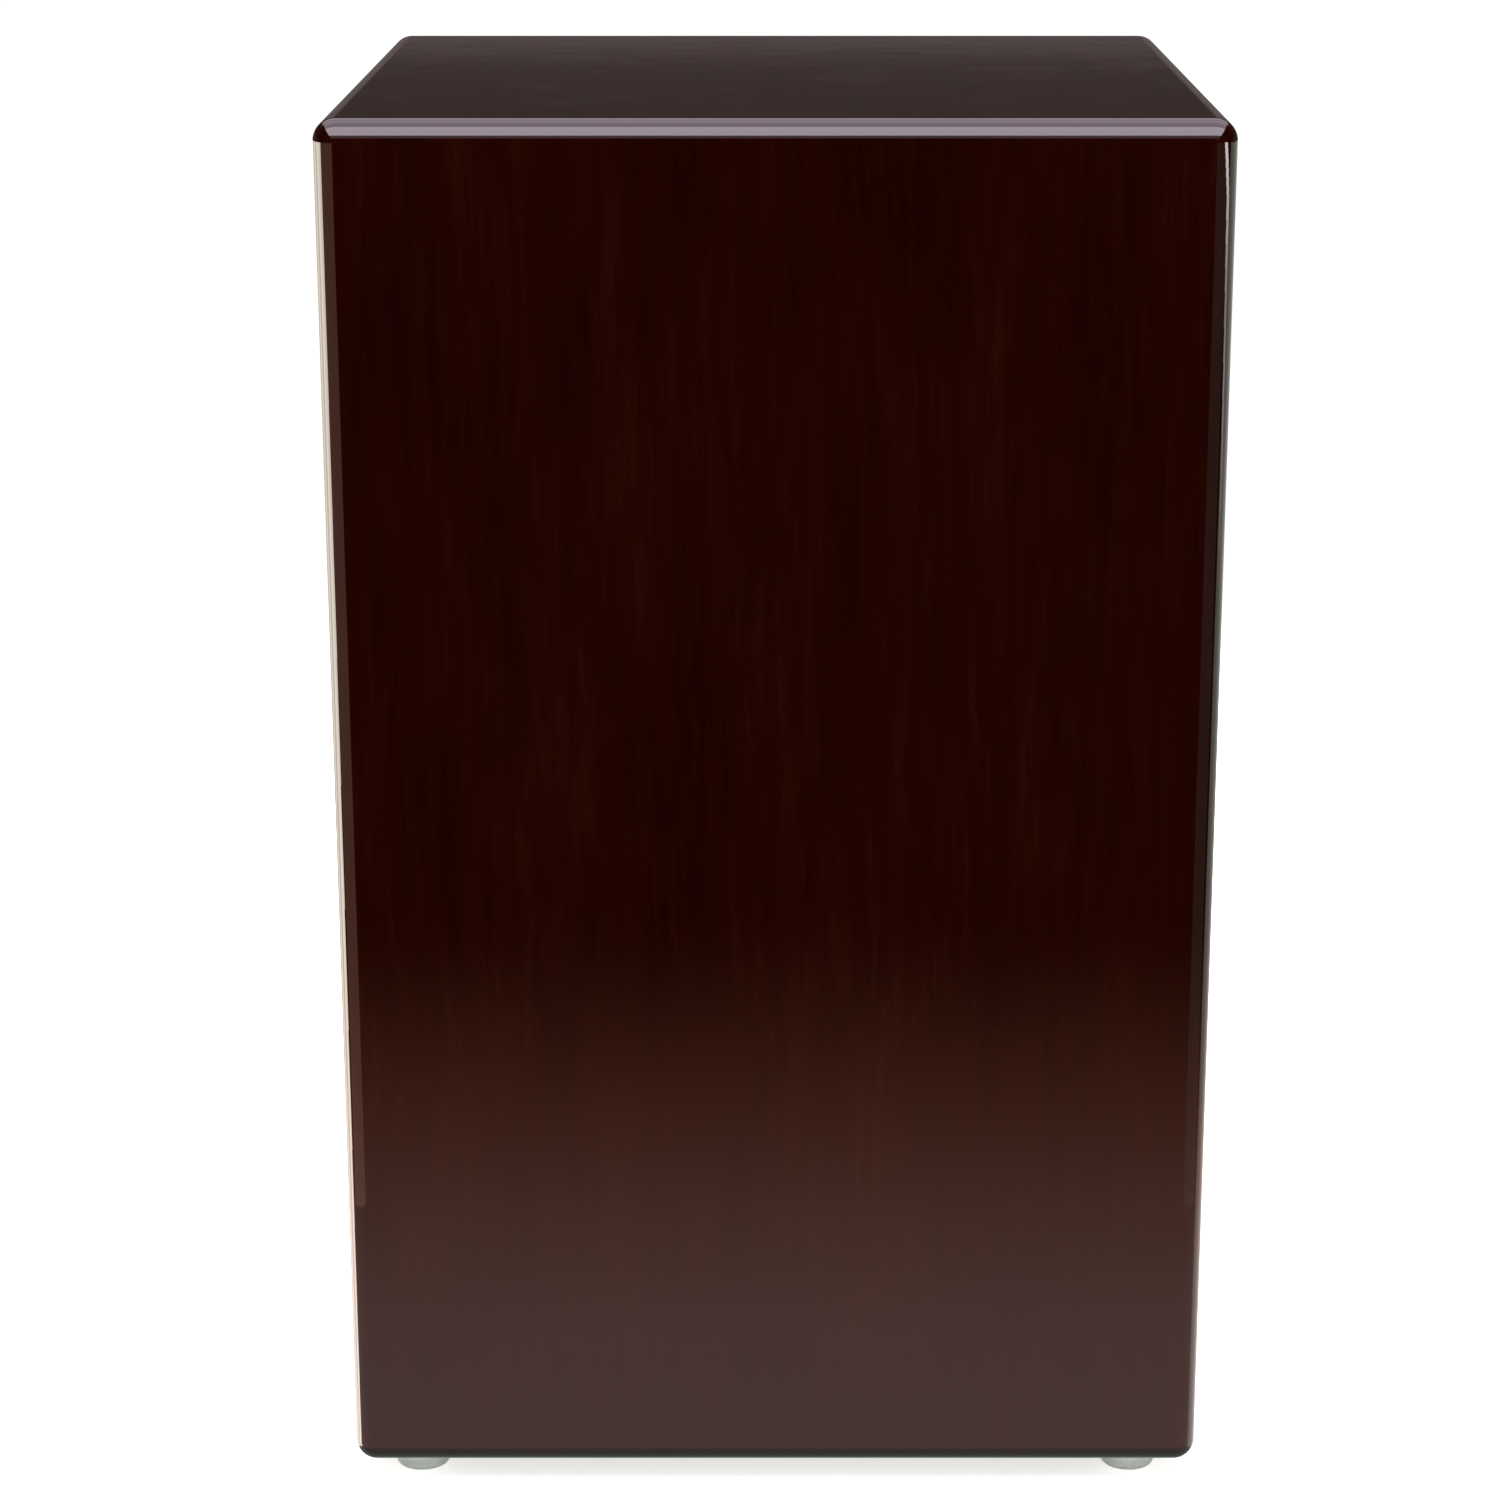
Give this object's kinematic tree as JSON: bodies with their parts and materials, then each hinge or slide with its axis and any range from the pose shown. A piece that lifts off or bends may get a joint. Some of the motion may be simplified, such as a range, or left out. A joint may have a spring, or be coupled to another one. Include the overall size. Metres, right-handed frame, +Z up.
{
  "type": "cajon",
  "caption": "Box-shaped wooden hand drum to sit on and strike, with a gloss-lacquered case, a rear sound hole, soft feet and an inner snare that a lever turns off.",
  "frame": {"origin": "on the floor, under the middle of the box", "axes": "+Z up through the seat, +Y out of the sound hole, -Y out of the playing plate, +X to the right of a viewer who faces the playing plate"},
  "size_m": [0.3, 0.285, 0.485],
  "materials": {
    "lacquered_plywood": "dark red-brown stained veneer under gloss lacquer, raw ply inside",
    "batten_softwood": "planed, unfinished",
    "beech": "sanded, unfinished",
    "snare_wire": "bright drawn wire, coiled",
    "zinc_steel": "zinc plated",
    "felt": "pressed wool felt",
    "clear_rubber": "soft, translucent grey",
    "adhesive": "thin double-sided film"
  },
  "bodies": {
    "box": {"tapa": "lacquered_plywood", "rear_panel": "lacquered_plywood", "seat_panel": "lacquered_plywood", "base_panel": "lacquered_plywood", "side_panel_left": "lacquered_plywood", "side_panel_right": "lacquered_plywood", "batten_front_left": "batten_softwood", "batten_rear_left": "batten_softwood", "batten_base_left": "batten_softwood", "batten_seat_left": "batten_softwood", "batten_front_right": "batten_softwood", "batten_rear_right": "batten_softwood", "batten_base_right": "batten_softwood", "batten_seat_right": "batten_softwood", "batten_front_bottom": "batten_softwood", "batten_front_top": "batten_softwood", "batten_rear_bottom": "batten_softwood", "batten_rear_top": "batten_softwood", "seat_brace": "batten_softwood", "foot_front_left": "clear_rubber", "foot_front_right": "clear_rubber", "foot_rear_left": "clear_rubber", "foot_rear_right": "clear_rubber", "foot_adhesive_discs": "adhesive", "bearing_block_left": "beech", "bearing_block_right": "beech", "bearing_block_screws": "zinc_steel", "felt_washer_left": "felt", "felt_washer_right": "felt", "stop_pin": "zinc_steel"},
    "snare": {"snare_dowel": "beech", "snare_plate_left": "zinc_steel", "snare_plate_right": "zinc_steel", "snare_plate_screws": "zinc_steel", "snare_wires_left": "snare_wire", "snare_wires_right": "snare_wire", "snare_lever_arm": "beech", "snare_lever_knob": "beech", "snare_stop_peg": "zinc_steel"}
  },
  "joints": [
    {"name": "snare_turn", "type": "hinge", "parent": "box", "child": "snare", "pos_m": [0, -0.105, 0.341], "axis": [-1, 0, 0], "range_deg": [0, 14]}
  ]
}
